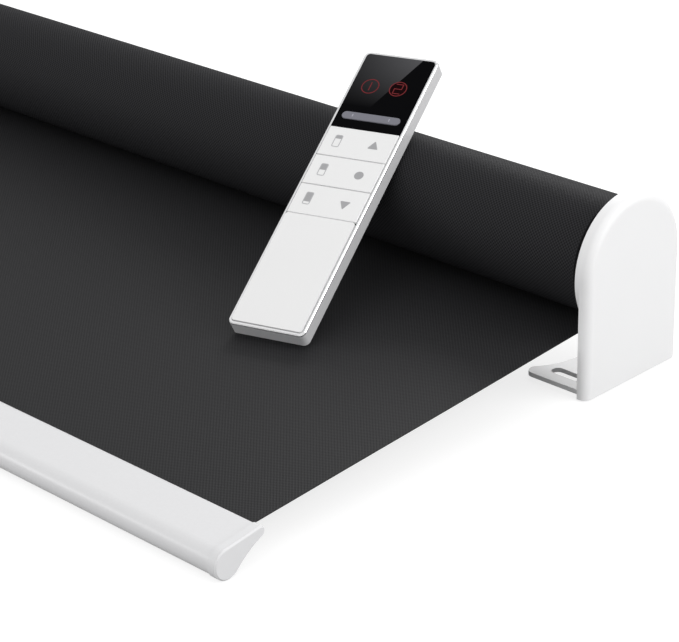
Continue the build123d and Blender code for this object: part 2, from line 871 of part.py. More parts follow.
def lug_sketch(angle, margin):
    """Sector of the ring that the battery door's lugs reach."""
    outer = door_radius + door_lug_reach + margin
    half = math.radians(angle / 2)
    far = 2 * outer
    corner_x = far * math.cos(half)
    corner_y = far * math.sin(half)
    wedge = make_face(Polyline((0, 0), (corner_x, -corner_y), (corner_x, corner_y), close=True))
    return (Circle(outer) - Circle(door_radius - 1)) & wedge


def remote_frame():
    frame_top = face_top - front_frame_drop
    outer = plate_between(shell_half, 0, remote_length, shell_height, frame_top, remote_corner_radius)
    outer = chamfer(outer.faces().sort_by(Axis.Z)[-1].edges(), front_frame_edge)
    margin = front_frame_width
    opening = plate_between(
        shell_half - margin, margin, remote_length - margin, shell_height - 1, face_top, lens_corner_radius,
    )
    return outer - opening


def remote_plate():
    end = front_plate_end - row_gap / 2
    plate = plate_between(face_half, face_foot, end, key_bottom, face_top, remote_corner_radius / 2)
    margin = plate_rib
    rib = plate_between(face_half - margin, face_foot + margin, end - margin, board_top, key_bottom)
    margin = 2 * plate_rib
    hollow = plate_between(face_half - margin, face_foot + margin, end - margin, board_top - 1, key_bottom)
    return plate + rib - hollow


def pivot_rib(radius, height, y_from, y_to):
    """Round bar along the remote that a key rocks on."""
    plane = Plane((0, y_from, height), x_dir=(1, 0, 0), z_dir=(0, 1, 0))
    return extrude(plane * Circle(radius), amount=y_to - y_from)


def remote_key(index):
    start = front_plate_end + index * row_height + row_gap / 2
    end = start + row_height - row_gap
    key = plate_between(face_half, start, end, key_bottom, face_top)
    key = chamfer(key.faces().sort_by(Axis.Z)[-1].edges(), key_edge)
    margin = 2 * plate_rib
    return key + pivot_rib(key_pivot_radius, key_bottom, start + margin, end - margin)


def remote_lens():
    lens = plate_between(face_half, lens_start, face_end, face_top - lens_thickness, face_top)
    top_edges = lens.edges().filter_by(Axis.Z).sort_by(Axis.Y)[-2:]
    lens = fillet(top_edges, lens_corner_radius)
    slot = SlotOverall(rocker_length + 2 * seat_gap, rocker_width + 2 * seat_gap)
    return lens - extrude(Pos(0, rocker_height, 0) * slot, amount=face_top + 1)


def channel_rocker():
    bottom = face_top + rocker_proud - rocker_thickness
    outline = Pos(0, rocker_height, bottom) * SlotOverall(rocker_length, rocker_width)
    rocker = extrude(outline, amount=rocker_thickness)
    rocker = chamfer(rocker.faces().sort_by(Axis.Z)[-1].edges(), key_edge)
    half = rocker_width / 2 - seat_gap
    return rocker + pivot_rib(rocker_pivot_radius, bottom, rocker_height - half, rocker_height + half)


def remote_board():
    inner = shell_half - shell_wall - push_fit
    start = shell_wall + push_fit
    corner = shell_inner_corner - push_fit
    return plate_between(inner, start, remote_length - start, board_bottom, board_top, corner)


def key_pad():
    start = front_plate_end + pad_margin
    end = lens_start - pad_margin
    pad = plate_between(face_half - pad_margin, start, end, board_top, pad_top, pad_margin)
    for index in range(3):
        middle = front_plate_end + (index + 0.5) * row_height
        for side in (-1, 1):
            dome = Pos(side * dome_x, middle, pad_top) * Circle(dome_radius)
            pad += extrude(dome, amount=dome_height)
    return pad


def display_module():
    start = lens_start + display_margin
    end = face_end - display_margin
    half = face_half - display_margin
    return plate_between(half, start, end, board_top, board_top + display_thickness, pad_margin)


def coin_cell():
    bottom = board_bottom - 2 * push_fit - coin_thickness
    return extrude(Pos(0, coin_height, bottom) * Circle(coin_radius), amount=coin_thickness)


def coin_clip():
    inner = coin_radius + seat_gap
    outline = Circle(inner + coin_clip_thickness) - Circle(inner)
    cut_height = 2 * coin_radius
    outline -= Pos(0, -coin_clip_open / 2 - cut_height / 2) * Rectangle(3 * coin_radius, cut_height)
    bottom = shell_floor + door_lug_thickness + seat_gap
    return extrude(Pos(0, coin_height, bottom) * outline, amount=board_bottom - bottom)


def battery_door():
    lug_bottom = shell_floor + push_fit
    door = extrude(Circle(door_radius), amount=shell_floor)
    door = chamfer(door.edges().sort_by(Axis.Z)[0], door_chamfer)
    hub_inner = coin_radius + seat_gap + coin_clip_thickness + seat_gap / 2
    hub = Pos(0, 0, shell_floor) * (Circle(door_radius) - Circle(hub_inner))
    door += extrude(hub, amount=push_fit + door_lug_thickness)
    for side in (0, 180):
        lug = Pos(0, 0, lug_bottom) * (Rot(0, 0, side) * lug_sketch(door_lug_angle, 0))
        door += extrude(lug, amount=door_lug_thickness)
    door -= extrude(SlotOverall(coin_slot_length, coin_slot_width), amount=coin_slot_depth)
    return Pos(0, coin_height, 0) * door


def main():
    os.makedirs("parts", exist_ok=True)
    save(end_cover(), "cover_right")
    save(left_hand(end_cover()), "cover_left")
    save(wall_bracket(spigot_opening, True), "bracket_right")
    save(left_hand(wall_bracket(socket_bush_radius + push_fit, False)), "bracket_left")
    save(guard_disc(adaptor_opening()), "guard_right")
    save(left_hand(guard_disc(Circle(socket_bush_radius + seat_gap))), "guard_left")
    save(roller_tube(), "roller_tube")
    save(keeper_strip(), "fabric_keeper_strip")
    save(wound_fabric(), "fabric_roll")
    save(fabric_sheet(), "fabric_sheet")
    save(bar_profile(), "bottom_bar")
    save(bar_rod(), "bottom_bar_rod")
    save(bar_cap(), "bar_cap_right")
    save(left_hand(bar_cap()), "bar_cap_left")
    save(motor_head(), "motor_head")
    save(motor_adaptor(), "motor_adaptor")
    save(adaptor_screws(), "adaptor_screws")
    save(retaining_clip(), "motor_retaining_clip")
    save(motor_sleeve(), "motor_sleeve")
    save(battery_cells(), "battery_cells")
    save(battery_cradle(), "battery_cradle")
    save(control_board(), "control_board")
    save(drive_motor(), "drive_motor")
    save(motor_brake(), "motor_brake")
    save(gearbox(), "gearbox")
    save(output_bearing(), "output_bearing")
    save(output_shaft(), "output_shaft")
    save(drive_wheel(), "drive_wheel")
    save(shaft_clip(), "shaft_clip")
    save(crown_ring(), "crown_ring")
    save(left_hand(idle_plug()), "idle_plug")
    save(left_hand(plug_cap()), "idle_plug_cap")
    save(left_hand(idle_pin()), "idle_pin")
    save(left_hand(idle_socket()), "idle_socket")
    save(left_hand(idle_spring()), "idle_spring")
    save(charge_board(), "charge_board")
    save(charge_port(), "charge_port")
    save(program_button(), "program_button")
    save(program_switch(), "program_switch")
    save(status_light(), "status_light")
    save(in_hand(remote_back()), "remote_back")
    save(in_hand(remote_frame()), "remote_frame")
    save(in_hand(remote_plate()), "remote_plate")
    for index, name in enumerate(("down", "stop", "up")):
        save(in_hand(remote_key(index)), f"remote_key_{name}")
    save(in_hand(remote_lens()), "remote_lens")
    save(in_hand(channel_rocker()), "channel_rocker")
    save(in_hand(remote_board()), "remote_board")
    save(in_hand(key_pad()), "remote_key_pad")
    save(in_hand(display_module()), "remote_display")
    save(in_hand(coin_cell()), "remote_coin_cell")
    save(in_hand(coin_clip()), "remote_coin_clip")
    save(in_hand(battery_door()), "remote_battery_door")
    report_places()


def report_places():
    """Print the places that a person needs to set the joints."""
    print("fabric slope, degrees:", round(math.degrees(fabric_slope), 3))
    print("free fabric length:", round(free_length, 2))
    print("remote foot:", remote_foot())
    print("remote across, along, normal:", remote_across, remote_along, remote_normal)
    for index in range(3):
        middle = front_plate_end + (index + 0.5) * row_height
        print("key", index, "pivot:", remote_plane.from_local_coords(Vector(0, middle, key_bottom)))
    rocker_pivot = Vector(0, rocker_height, face_top + rocker_proud - rocker_thickness)
    print("rocker pivot:", remote_plane.from_local_coords(rocker_pivot))
    print("battery door centre:", remote_plane.from_local_coords(Vector(0, coin_height, 0)))
    slot_x = half_width - plate_inner - slot_offset
    print("wall slots, X distance:", round(2 * slot_x, 3))
    print("program button:", Vector(button_axis_x, head_flat + button_proud, button_height))
    print("fabric width:", round(blind_width - 2 * fabric_end, 3))


main()
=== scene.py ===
import json
import math
import random

import bpy
import bmesh
from mathutils import Matrix, Vector


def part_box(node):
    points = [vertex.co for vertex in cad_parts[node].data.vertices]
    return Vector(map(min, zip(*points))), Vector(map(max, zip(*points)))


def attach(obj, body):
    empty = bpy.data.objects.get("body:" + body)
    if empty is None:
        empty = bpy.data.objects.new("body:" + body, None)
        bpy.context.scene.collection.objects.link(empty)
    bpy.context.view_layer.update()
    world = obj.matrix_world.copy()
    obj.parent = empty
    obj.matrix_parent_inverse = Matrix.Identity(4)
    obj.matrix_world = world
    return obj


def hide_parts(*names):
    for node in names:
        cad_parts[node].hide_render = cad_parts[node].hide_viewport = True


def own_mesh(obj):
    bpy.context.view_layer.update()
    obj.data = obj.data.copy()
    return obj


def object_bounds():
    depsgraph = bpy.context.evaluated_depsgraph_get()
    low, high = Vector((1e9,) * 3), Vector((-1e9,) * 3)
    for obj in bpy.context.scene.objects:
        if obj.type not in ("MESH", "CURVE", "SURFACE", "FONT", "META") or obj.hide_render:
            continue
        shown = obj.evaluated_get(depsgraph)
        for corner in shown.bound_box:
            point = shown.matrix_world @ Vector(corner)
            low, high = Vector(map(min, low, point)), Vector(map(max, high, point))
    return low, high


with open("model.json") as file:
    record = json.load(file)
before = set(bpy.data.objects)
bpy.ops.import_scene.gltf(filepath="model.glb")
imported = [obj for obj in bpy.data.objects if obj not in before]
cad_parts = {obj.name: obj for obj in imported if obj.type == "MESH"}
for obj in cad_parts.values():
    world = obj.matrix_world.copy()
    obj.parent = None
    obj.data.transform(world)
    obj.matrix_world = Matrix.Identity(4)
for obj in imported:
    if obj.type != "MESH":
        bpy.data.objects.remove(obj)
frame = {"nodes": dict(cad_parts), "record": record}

cad_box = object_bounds()
random.seed(7)

# Camera, found by fitting the photo's straight edges and round ends
CAMERA_PLACE = Vector((0.8366, -0.7087, 0.4320))
CAMERA_AZIMUTH = math.radians(44.86)
CAMERA_ELEVATION = math.radians(24.57)
CAMERA_ROLL = math.radians(-1.27)
CAMERA_LENS = 126.5
SENSOR_WIDTH = 36.0
CLIP_START = 0.01
CLIP_END = 50.0

# Roller and cloth in metres, as in the solids
AXIS_HEIGHT = 0.0513
ROLL_RADIUS = 0.0252
TUBE_RADIUS = 0.019
CLOTH_THICKNESS = 0.00045
CLOTH_SLOPE = math.radians(3.75)
FREE_LENGTH = 0.20609
SHEET_ENTRY = 0.003
SEAT_GAP = 0.0003

# Remote's foot, directions and thickness, as in the solids
REMOTE_FOOT = Vector((0.1926, -0.102002, 0.0198114))
REMOTE_ACROSS = Vector((0.961262, 0.275047, 0.018027))
REMOTE_ALONG = Vector((-0.244271, 0.819749, 0.518019))
REMOTE_NORMAL = Vector((0.127702, -0.502355, 0.855179))
REMOTE_THICKNESS = 0.008
REMOTE_TURN = Matrix((REMOTE_ACROSS, REMOTE_ALONG, REMOTE_NORMAL)).transposed().to_4x4()
REMOTE_PLACE = Matrix.Translation(REMOTE_FOOT) @ REMOTE_TURN

# Painted reflection on the remote's lens: a pale slanted patch, which fades from the lens's upper
# end downward
LENS_TOP = 0.149
LENS_HALF_WIDTH = 0.018
GLARE_REACH = 0.030
GLARE_SIDE = 0.011
GLARE_SLANT = 0.465
GLARE_LEFT_SHARE = 0.35

# Cloth's weave: thread spacing, and the grey of a thread's top, of the gaps and of worn places
WEAVE_PITCH = 0.0016
THREAD_TOP = 0.031
THREAD_GAP = 0.007
WORN_CLOTH = 0.014
CLOTH_BLUENESS = 1.07

# Ink on the remote starts just under its face and ends just above, and higher on the rocker
INK_BOTTOM = REMOTE_THICKNESS - 0.00002
INK_TOP = REMOTE_THICKNESS + 0.00004
BACKING_DROP = 0.00003
ROCKER_RISE = 0.0002

# Key signs: a drawn blind on each key, with its place along the remote and how far it is down
BLIND_SIGNS = (
    ("key_down", 0.0672, 0.80),
    ("key_stop", 0.0830, 0.52),
    ("key_up", 0.0990, 0.28),
)
BLIND_SIGN_X = -0.0099
BLIND_SIGN_SIZE = (0.0036, 0.0066)
BLIND_SIGN_RIM = 0.0004
BLIND_SIGN_CORNER = 0.0009
BLIND_SHADE_CORNER = 0.0005
BLIND_SHADE_HEM_CORNER = 0.0001

# Key signs: two triangles and a dot, each beside its key's drawn blind
PLAIN_SIGN_X = 0.0076
DOWN_SIGN_Y = 0.0670
STOP_SIGN_Y = 0.0827
UP_SIGN_Y = 0.0988
TRIANGLE_SIZE = 0.0050
TRIANGLE_CORNER = 0.0003
DOT_RADIUS = 0.0021

# Channel marks: two ringed digits behind the lens, and two ticks on the rocker below them
FIRST_RING = (-0.0076, 0.1306)
SECOND_RING = (0.0057, 0.1311)
RING_RADIUS = 0.0041
STROKE_WIDTH = 0.0004
BACKING_GAP = 0.0001
FIRST_DIGIT_HALF_HEIGHT = 0.0023
SECOND_DIGIT_HALF_SIZE = (0.0017, 0.0026)
TICK_X = 0.0088
TICK_ENDS = (0.1129, 0.1143)

# Floor: its reach, its gap under the part, and its glow for other rays and for the camera's
FLOOR_REACH = 6.0
FLOOR_GAP = 0.0002
FLOOR_GLOW = 0.1
FLOOR_GLOW_SEEN = 0.75

# Soft light: strength from everywhere, how fast a side's light fades, and what each side adds
SKY_EVEN = 0.44
SKY_FADE = 2.0
SKY = (
    ((1, 0, 0), 0.2),
    ((-1, 0, 0), 0.2),
    ((0, 1, 0), 0.3),
    ((0, -0.85, 0.5), 0.6),
    ((0, 0, 1), 0.3),
)

# Area lights: name, place, what they shine at, width and height, and power
LIGHTS = (
    ("key_light", (1.3, 0.55, 0.8), (0.1, -0.05, 0), (0.7, 0.7), 6.4),
    ("sheen_light", (-0.06, 0.45, 0.35), (0.2, -0.02, 0.05), (0.25, 0.25), 1.4),
    ("strip_light", (-1.0, -1.2, 0.3), (0.05, -0.2, 0.02), (0.6, 0.3), 2.5),
    ("side_light", (1.3, 0.0, 0.35), (0.25, -0.05, 0.03), (0.4, 0.4), 2.2),
)

# Sockets of the mix node that share their names with others, by number
MIX_FIRST = 6
MIX_SECOND = 7
MIX_RESULT = 2


# Meshes
def add_mesh(name, points, faces, material, smooth=True):
    mesh = bpy.data.meshes.new(name)
    mesh.from_pydata([tuple(point) for point in points], [], faces)
    mesh.validate()
    mesh.update()
    mesh.materials.append(material)
    for face in mesh.polygons:
        face.use_smooth = smooth
    piece = bpy.data.objects.new(name, mesh)
    bpy.context.scene.collection.objects.link(piece)
    return piece


def harden(piece, angle=30):
    """Mark the edges that are sharper than the angle, so that the shading breaks there."""
    limit = math.radians(angle)
    editor = bmesh.new()
    editor.from_mesh(piece.data)
    for edge in editor.edges:
        if len(edge.link_faces) == 2 and edge.calc_face_angle(0) > limit:
            edge.smooth = False
    editor.to_mesh(piece.data)
    editor.free()


# Node trees
class Nodes:
    """A node tree with short ways to add to it."""

    def __init__(self, tree):
        self.tree = tree

    def node(self, kind, inputs=None, **settings):
        """Add a node. Each input is a plain value or another node's output."""
        made = self.tree.nodes.new(kind)
        for key, value in settings.items():
            setattr(made, key, value)
        for key, value in (inputs or {}).items():
            if isinstance(value, bpy.types.NodeSocket):
                self.tree.links.new(value, made.inputs[key])
            else:
                made.inputs[key].default_value = value
        return made

    def place(self, kind="Object"):
        return self.node("ShaderNodeTexCoord").outputs[kind]

    def apart(self):
        """A point's place as its separate X, Y and Z."""
        return self.node("ShaderNodeSeparateXYZ", {"Vector": self.place()}).outputs

    def math(self, operation, first, second=0.0, third=0.0):
        inputs = {0: first, 1: second, 2: third}
        return self.node("ShaderNodeMath", inputs, operation=operation).outputs[0]

    def vector_math(self, operation, first, second):
        inputs = {0: first, 1: second}
        return self.node("ShaderNodeVectorMath", inputs, operation=operation).outputs

    def spread(self, value, low, high, value_low=0.0, value_high=1.0):
        """Turn a value that goes from 0 to 1, or between the given ends, into another range."""
        inputs = {
            "Value": value,
            "From Min": value_low,
            "From Max": value_high,
            "To Min": low,
            "To Max": high,
        }
        return self.node("ShaderNodeMapRange", inputs).outputs[0]

    def noise(self, scale, detail, stretch=(1, 1, 1), roughness=0.5):
        """Soft random values from 0 to 1, with about as many spots to a metre as the scale says."""
        mapping = self.node("ShaderNodeMapping", {"Vector": self.place(), "Scale": stretch})
        inputs = {
            "Vector": mapping.outputs[0],
            "Scale": scale,
            "Detail": detail,
            "Roughness": roughness,
        }
        return self.node("ShaderNodeTexNoise", inputs).outputs["Fac"]


def opaque(colour):
    """A colour in the form that a socket takes. Another node's output stays as it is."""
    return colour if isinstance(colour, bpy.types.NodeSocket) else (*colour, 1)


def shaded(colour, share):
    return tuple(value * share for value in colour)


class Look(Nodes):
    """A material with one principled shader, and short ways to vary what it shows."""

    def __init__(self, name, colour, roughness, **settings):
        self.material = bpy.data.materials.new(name)
        self.material.use_nodes = True
        super().__init__(self.material.node_tree)
        self.shader = self.tree.nodes["Principled BSDF"]
        self.shader.inputs["Base Color"].default_value = opaque(colour)
        self.shader.inputs["Roughness"].default_value = roughness
        for socket, value in settings.items():
            self.shader.inputs[socket.replace("_", " ")].default_value = value
        self.colour = colour
        self.normal = None

    def link(self, socket, target):
        self.tree.links.new(socket, self.shader.inputs[target])

    def tint(self, factor, other, base=None):
        """The base colour where the factor is 0, and the other one where it is 1."""
        inputs = {
            "Factor": factor,
            MIX_FIRST: opaque(base or self.colour),
            MIX_SECOND: opaque(other),
        }
        return self.node("ShaderNodeMix", inputs, data_type="RGBA").outputs[MIX_RESULT]

    def vary_colour(self, factor, other):
        self.link(self.tint(factor, other), "Base Color")

    def vary_gloss(self, factor, low, high):
        self.link(self.spread(factor, low, high), "Roughness")

    def bump(self, height, strength, distance):
        """Raise the surface by the height, on top of the bumps that it already has."""
        inputs = {"Height": height, "Strength": strength, "Distance": distance}
        if self.normal is not None:
            inputs["Normal"] = self.normal
        self.normal = self.node("ShaderNodeBump", inputs).outputs[0]
        self.link(self.normal, "Normal")


# Materials: noise scales are spots to a metre, and bump distances are metres
def moulded(name, colour, roughness, grain=1800.0, depth=0.00002, shade=0.04, **settings):
    """Moulded plastic: a fine spark-eroded grain, slow colour drift and uneven gloss."""
    look = Look(name, colour, roughness, **settings)
    look.vary_colour(look.noise(scale=18.0, detail=2.0), shaded(colour, 1 - shade))
    look.vary_gloss(look.noise(scale=60.0, detail=4.0), low=roughness - 0.06, high=roughness + 0.08)
    look.bump(look.noise(grain, detail=2.0), strength=0.25, distance=depth)
    return look.material


def powder_coat(name, colour, roughness):
    """Powder coat: small orange-peel waves with specks between them."""
    look = Look(name, colour, roughness, Coat_Weight=0.5, Coat_Roughness=0.3)
    look.vary_colour(look.noise(scale=900.0, detail=2.0), shaded(colour, 0.95))
    look.vary_gloss(look.noise(scale=35.0, detail=3.0), low=roughness - 0.05, high=roughness + 0.07)
    look.bump(look.noise(scale=420.0, detail=1.0), strength=0.3, distance=0.00006)
    look.bump(look.noise(scale=2200.0, detail=1.0), strength=0.15, distance=0.00002)
    return look.material


def brushed(name, colour, roughness, stretch=(1, 60, 60)):
    """Drawn or turned metal with fine lines along one direction."""
    look = Look(name, colour, roughness, Metallic=1.0)
    lines = look.noise(scale=90.0, detail=6.0, stretch=stretch, roughness=0.7)
    look.vary_colour(lines, shaded(colour, 0.75))
    look.vary_gloss(lines, low=roughness - 0.08, high=roughness + 0.14)
    look.bump(lines, strength=0.2, distance=0.00002)
    return look.material


def weave_height(look, across, along):
    """Plain weave, from 0 to 1: threads cross over and under in a chequer of small humps."""
    turn = 2 * math.pi / WEAVE_PITCH
    first = look.math("SINE", look.math("MULTIPLY", across, turn))
    second = look.math("SINE", look.math("MULTIPLY", along, turn))
    return look.math("MULTIPLY_ADD", look.math("MULTIPLY", first, second), 0.5, 0.5)


# A cloth grey, times the painted light share that lightens the roll's copy of the cloth
def cloth_grey(level, painted_lift):
    grey = level * painted_lift
    return grey, grey, grey * CLOTH_BLUENESS


def blackout_cloth(name, wound):
    """Charcoal cloth with a fine weave. On the roll it is duller and laid round, and painted
    lighter: a lit copy of the same cloth.
    """
    # Painted light: the roll's copy of the cloth gets greys 1.28 times lighter than the sheet's,
    # standing in for light on the roll
    specular, painted_lift = (0.02, 1.28) if wound else (0.15, 1.0)
    look = Look(name, (0.012, 0.012, 0.013), 0.55, Specular_IOR_Level=specular)
    place = look.apart()
    along = place["Y"]
    if wound:
        angle = look.math("ARCTAN2", look.math("SUBTRACT", place["Z"], AXIS_HEIGHT), place["Y"])
        along = look.math("MULTIPLY", angle, ROLL_RADIUS)
    weave = weave_height(look, place["X"], along)
    thread = look.noise(scale=1500.0, detail=2.0)
    woven = look.tint(weave, cloth_grey(THREAD_TOP, painted_lift), cloth_grey(THREAD_GAP, painted_lift))
    cloudy = look.spread(look.noise(scale=14.0, detail=3.0), low=0.0, high=0.25)
    look.link(look.tint(cloudy, cloth_grey(WORN_CLOTH, painted_lift), woven), "Base Color")
    look.vary_gloss(thread, low=0.48, high=0.62)
    look.bump(weave, strength=0.5, distance=0.0001)
    look.bump(thread, strength=0.2, distance=0.00003)
    return look.material


def polished_frame(name):
    """Silvery polished frame, which mirrors the cloth beside it."""
    look = Look(name, (0.86, 0.86, 0.87), 0.16, Metallic=0.9)
    look.vary_colour(look.noise(scale=40.0, detail=3.0), (0.80, 0.80, 0.81))
    look.vary_gloss(look.noise(scale=300.0, detail=3.0), low=0.12, high=0.22)
    look.bump(look.noise(scale=900.0, detail=2.0), strength=0.05, distance=0.00001)
    return look.material


def painted_lens_glare(look):
    """From 0 to 1, where the painted reflection lies: a patch with a slanted right edge, which
    fades downward and to the left.
    """
    away = look.vector_math("SUBTRACT", look.place(), REMOTE_FOOT)[0]
    across, along = (
        look.vector_math("DOT_PRODUCT", away, direction)["Value"]
        for direction in (REMOTE_ACROSS, REMOTE_ALONG)
    )
    drop = look.math("SUBTRACT", LENS_TOP, along)
    edge = look.math("MULTIPLY_ADD", drop, -GLARE_SLANT, GLARE_SIDE)
    lit = look.math("LESS_THAN", across, edge)
    downward = look.spread(drop, 1.0, 0.0, 0.0, GLARE_REACH)
    sideways = look.spread(across, GLARE_LEFT_SHARE, 1.0, -LENS_HALF_WIDTH, GLARE_SIDE)
    return look.math("MULTIPLY", lit, look.math("MULTIPLY", downward, sideways))


def glass_lens(name):
    """Nearly black glass with a painted reflection: a pale patch fixed on the lens, which does not
    move with the viewer's place.
    """
    look = Look(name, (0.0015, 0.0015, 0.002), 0.04, Specular_IOR_Level=0.02)
    look.vary_gloss(look.noise(scale=50.0, detail=4.0), low=0.03, high=0.07)
    # Painted reflection: the glare patch lightens the glass towards a pale grey
    look.vary_colour(painted_lens_glare(look), (0.085, 0.085, 0.090))
    look.bump(look.noise(scale=30.0, detail=1.0), strength=0.02, distance=0.00002)
    return look.material


def circuit_board(name):
    """Green solder mask with brighter tracks."""
    mask = (0.01, 0.10, 0.035)
    look = Look(name, mask, 0.35, Coat_Weight=0.4)
    pattern = {
        "Vector": look.place(),
        "Scale": 240.0,
        "Mortar Size": 0.06,
        "Color1": opaque(mask),
        "Color2": (0.012, 0.12, 0.04, 1),
        "Mortar": (0.05, 0.26, 0.09, 1),
    }
    tracks = look.node("ShaderNodeTexBrick", pattern).outputs
    look.link(tracks["Color"], "Base Color")
    look.vary_gloss(look.noise(scale=300.0, detail=3.0), low=0.28, high=0.45)
    look.bump(tracks["Fac"], strength=0.4, distance=0.00003)
    return look.material


def wrapped_cell(name):
    """Shrink film over a cell, with faint rings where it is drawn in."""
    radians_per_metre = 900.0
    look = Look(name, (0.03, 0.09, 0.24), 0.3, Coat_Weight=0.5)
    rings = look.math("SINE", look.math("MULTIPLY", look.apart()["X"], radians_per_metre))
    look.vary_colour(look.noise(scale=90.0, detail=4.0), (0.02, 0.06, 0.17))
    look.vary_gloss(look.noise(scale=200.0, detail=3.0), low=0.22, high=0.4)
    look.bump(rings, strength=0.08, distance=0.00003)
    return look.material


def speckled_rubber(name, colour):
    look = Look(name, colour, 0.7)
    look.vary_colour(look.noise(scale=700.0, detail=3.0), shaded(colour, 0.8))
    look.vary_gloss(look.noise(scale=250.0, detail=3.0), low=0.6, high=0.82)
    look.bump(look.noise(scale=1200.0, detail=2.0), strength=0.3, distance=0.00003)
    return look.material


def make_materials():
    """One material for each of the record's slots."""
    clear = {"Transmission_Weight": 0.6, "IOR": 1.49}
    coat = {"Coat_Weight": 0.3, "Coat_Roughness": 0.2}
    return {
        "white_plastic": moulded("white_plastic", (0.84, 0.84, 0.845), 0.48),
        "bracket_steel": powder_coat("bracket_steel", (0.74, 0.74, 0.745), 0.42),
        "tube_aluminium": brushed("tube_aluminium", (0.78, 0.79, 0.80), 0.30),
        "blackout_fabric": blackout_cloth("blackout_fabric", wound=False),
        "bar_aluminium": powder_coat("bar_aluminium", (0.74, 0.74, 0.75), 0.36),
        "rod_steel": brushed("rod_steel", (0.52, 0.53, 0.55), 0.38),
        "black_plastic": moulded("black_plastic", (0.022, 0.022, 0.024), 0.48, shade=0.3),
        "clear_plastic": moulded("clear_plastic", (0.72, 0.75, 0.78), 0.22, **clear),
        "spring_steel": brushed("spring_steel", (0.66, 0.66, 0.68), 0.26, stretch=(8, 30, 8)),
        "sleeve_steel": brushed("sleeve_steel", (0.56, 0.57, 0.60), 0.33),
        "cell_wrap": wrapped_cell("cell_wrap"),
        "board_green": circuit_board("board_green"),
        "gear_steel": brushed("gear_steel", (0.48, 0.48, 0.50), 0.36, stretch=(60, 4, 4)),
        "grey_plastic": moulded("grey_plastic", (0.30, 0.31, 0.33), 0.45, shade=0.1),
        "remote_plastic": moulded(
            "remote_plastic", (0.81, 0.81, 0.81), 0.42, grain=2600.0, depth=0.00001,
        ),
        "remote_grey": moulded("remote_grey", (0.62, 0.62, 0.63), 0.30, **coat),
        "display_black": glass_lens("display_black"),
        "rocker_grey": moulded(
            "rocker_grey", (0.185, 0.185, 0.215), 0.45, Specular_IOR_Level=0.2,
        ),
        "pad_rubber": speckled_rubber("pad_rubber", (0.30, 0.30, 0.32)),
    }


def dress_solids(materials):
    """Give each solid its slot's material, and a few of them one of their own."""
    nodes = frame["nodes"]
    for subpart in frame["record"]["subparts"]:
        slots = nodes[subpart["node"]].data.materials
        slots.clear()
        slots.append(materials[subpart["material_slot"]])
    nodes["remote_frame"].data.materials[0] = polished_frame("remote_frame_gloss")
    cap_plastic = moulded("cap_plastic", (0.74, 0.74, 0.75), 0.42)
    for name in ("bar_cap_right", "bar_cap_left"):
        nodes[name].data.materials[0] = cap_plastic


# Camera
def make_camera():
    """A camera at the photo's viewing angle. Away points from the part to the camera."""
    away = Vector((
        math.sin(CAMERA_AZIMUTH) * math.cos(CAMERA_ELEVATION),
        -math.cos(CAMERA_AZIMUTH) * math.cos(CAMERA_ELEVATION),
        math.sin(CAMERA_ELEVATION),
    ))
    level = Vector((math.cos(CAMERA_AZIMUTH), math.sin(CAMERA_AZIMUTH), 0))
    rise = away.cross(level)
    right = level * math.cos(CAMERA_ROLL) + rise * math.sin(CAMERA_ROLL)
    up = rise * math.cos(CAMERA_ROLL) - level * math.sin(CAMERA_ROLL)
    turn = Matrix((right, up, away)).transposed().to_4x4()
    lens = bpy.data.cameras.new("camera")
    lens.lens = CAMERA_LENS
    lens.sensor_width = SENSOR_WIDTH
    lens.clip_start = CLIP_START
    lens.clip_end = CLIP_END
    camera = bpy.data.objects.new("camera", lens)
    bpy.context.scene.collection.objects.link(camera)
    camera.matrix_world = Matrix.Translation(CAMERA_PLACE) @ turn
    bpy.context.scene.camera = camera


# Floor and light
def make_floor():
    """A pale floor that looks brighter to the camera than the light it gives."""
    look = Look("studio_floor", (0.35, 0.35, 0.35), 0.85, Specular_IOR_Level=0.1)
    look.shader.inputs["Emission Color"].default_value = (1.0, 1.0, 1.0, 1)
    seen = look.node("ShaderNodeLightPath").outputs["Is Camera Ray"]
    look.link(look.spread(seen, FLOOR_GLOW, FLOOR_GLOW_SEEN), "Emission Strength")
    look.vary_gloss(look.noise(scale=6.0, detail=2.0), low=0.7, high=0.8)
    signs = ((-1, -1), (1, -1), (1, 1), (-1, 1))
    corners = [(x * FLOOR_REACH, y * FLOOR_REACH, 0) for x, y in signs]
    floor = add_mesh("studio_floor", corners, [(0, 1, 2, 3)], look.material)
    floor.location.z = cad_box[0].z - FLOOR_GAP


def make_sky():
    """A soft surrounding: each direction has its own strength, and they fade into each other."""
    world = bpy.data.worlds.new("studio")
    world.use_nodes = True
    sky = Nodes(world.node_tree)
    place = sky.place("Generated")
    total = SKY_EVEN
    for direction, strength in SKY:
        facing = sky.vector_math("DOT_PRODUCT", place, direction)["Value"]
        fading = sky.math("POWER", sky.math("MAXIMUM", facing, 0.0), SKY_FADE)
        total = sky.math("MULTIPLY_ADD", fading, strength, total)
    background = world.node_tree.nodes["Background"]
    background.inputs["Color"].default_value = (1, 1, 1, 1)
    world.node_tree.links.new(total, background.inputs["Strength"])
    bpy.context.scene.world = world


def make_lights():
    """A soft main light, one for the cloth's sheen, and two that fill the sides."""
    for name, place, target, size, power in LIGHTS:
        light = bpy.data.lights.new(name, "AREA")
        light.shape = "RECTANGLE"
        light.size, light.size_y = size
        light.energy = power
        lamp = bpy.data.objects.new(name, light)
        bpy.context.scene.collection.objects.link(lamp)
        lamp.location = place
        lamp.rotation_mode = "QUATERNION"
        lamp.rotation_quaternion = (Vector(target) - Vector(place)).to_track_quat("-Z", "Y")
    bpy.context.scene.view_settings.view_transform = "Standard"


